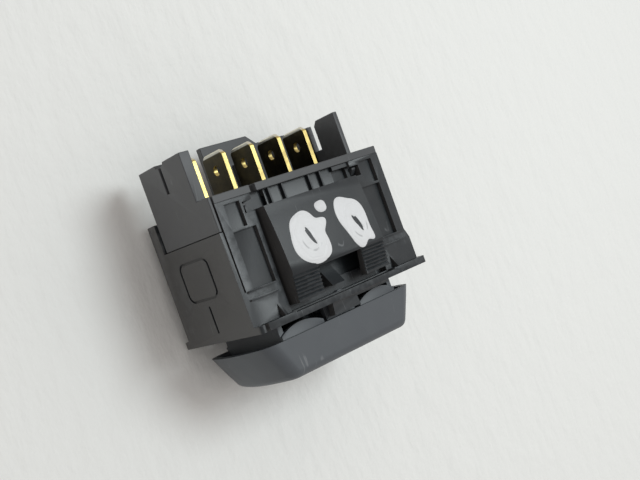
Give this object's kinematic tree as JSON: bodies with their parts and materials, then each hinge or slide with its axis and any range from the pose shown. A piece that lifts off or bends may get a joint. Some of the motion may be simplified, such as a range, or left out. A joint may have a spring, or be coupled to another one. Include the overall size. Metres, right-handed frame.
{
  "type": "power window switch",
  "caption": "Rocker switch for a vehicle window, with a snap-in case, a tilting rocker on side pivots, inner see-saw contacts and flat plug blades in a keyed shroud.",
  "frame": {"origin": "centre of the panel seat, the under-face of the flange, on the middle planes of the case", "axes": "+Z out of the panel towards the rocker, X along the rocker with +X at the end with the side plate, -Y the front side"},
  "size_m": [0.0378, 0.0264, 0.0413],
  "materials": {
    "case_plastic": "matte moulded",
    "base_plastic": "matte moulded",
    "rocker_plastic": "satin",
    "plunger_plastic": "satin",
    "lens": "clear tinted",
    "brass": "stamped",
    "contact_silver": "dull silver",
    "spring_steel": "drawn wire",
    "lamp_glass": "clear"
  },
  "bodies": {
    "case": {"housing": "case_plastic", "terminal_base": "base_plastic", "terminal_lamp": "brass", "terminal_supply": "brass", "terminal_motor_a": "brass", "terminal_motor_b": "brass", "terminal_ground": "brass", "ground_rail": "brass", "supply_rail": "brass", "fixed_contact_front_plus": "contact_silver", "fixed_contact_front_minus": "contact_silver", "fixed_contact_rear_plus": "contact_silver", "fixed_contact_rear_minus": "contact_silver", "fulcrum_front": "brass", "fulcrum_rear": "brass", "lamp": "lamp_glass", "lamp_clip": "brass", "lamp_strip": "brass"},
    "rocker_group": {"rocker": "rocker_plastic", "rocker_lens": "lens", "spring_front": "spring_steel", "spring_rear": "spring_steel"},
    "front_plunger": {"plunger_front": "plunger_plastic"},
    "rear_plunger": {"plunger_rear": "plunger_plastic"},
    "front_seesaw": {"seesaw_front": "brass", "moving_contact_front_a": "contact_silver", "moving_contact_front_b": "contact_silver"},
    "rear_seesaw": {"seesaw_rear": "brass", "moving_contact_rear_a": "contact_silver", "moving_contact_rear_b": "contact_silver"}
  },
  "joints": [
    {"name": "rocker_tilt", "type": "hinge", "parent": "case", "child": "rocker_group", "pos_m": [0, 0, 0.001], "axis": [0, 1, 0], "range_deg": [-7, 7], "stiffness_Nm_per_rad": 0.4},
    {"name": "front_seesaw_rock", "type": "hinge", "parent": "case", "child": "front_seesaw", "pos_m": [0, -0.0046, -0.0148], "axis": [0, 1, 0], "range_deg": [-5, 5]},
    {"name": "rear_seesaw_rock", "type": "hinge", "parent": "case", "child": "rear_seesaw", "pos_m": [0, 0.0046, -0.0148], "axis": [0, 1, 0], "range_deg": [-5, 5]},
    {"name": "front_plunger_slide", "type": "slide", "parent": "rocker_group", "child": "front_plunger", "axis": [0, 0, 1], "range_m": [0, 0.0012], "stiffness_N_per_m": 400, "deforming": ["spring_front"]},
    {"name": "rear_plunger_slide", "type": "slide", "parent": "rocker_group", "child": "rear_plunger", "axis": [0, 0, 1], "range_m": [0, 0.0012], "stiffness_N_per_m": 400, "deforming": ["spring_rear"]}
  ],
  "couplings": [
    {"joint": "front_seesaw_rock", "follows": "rocker_tilt", "ratio": -0.714},
    {"joint": "rear_seesaw_rock", "follows": "rocker_tilt", "ratio": -0.714}
  ]
}
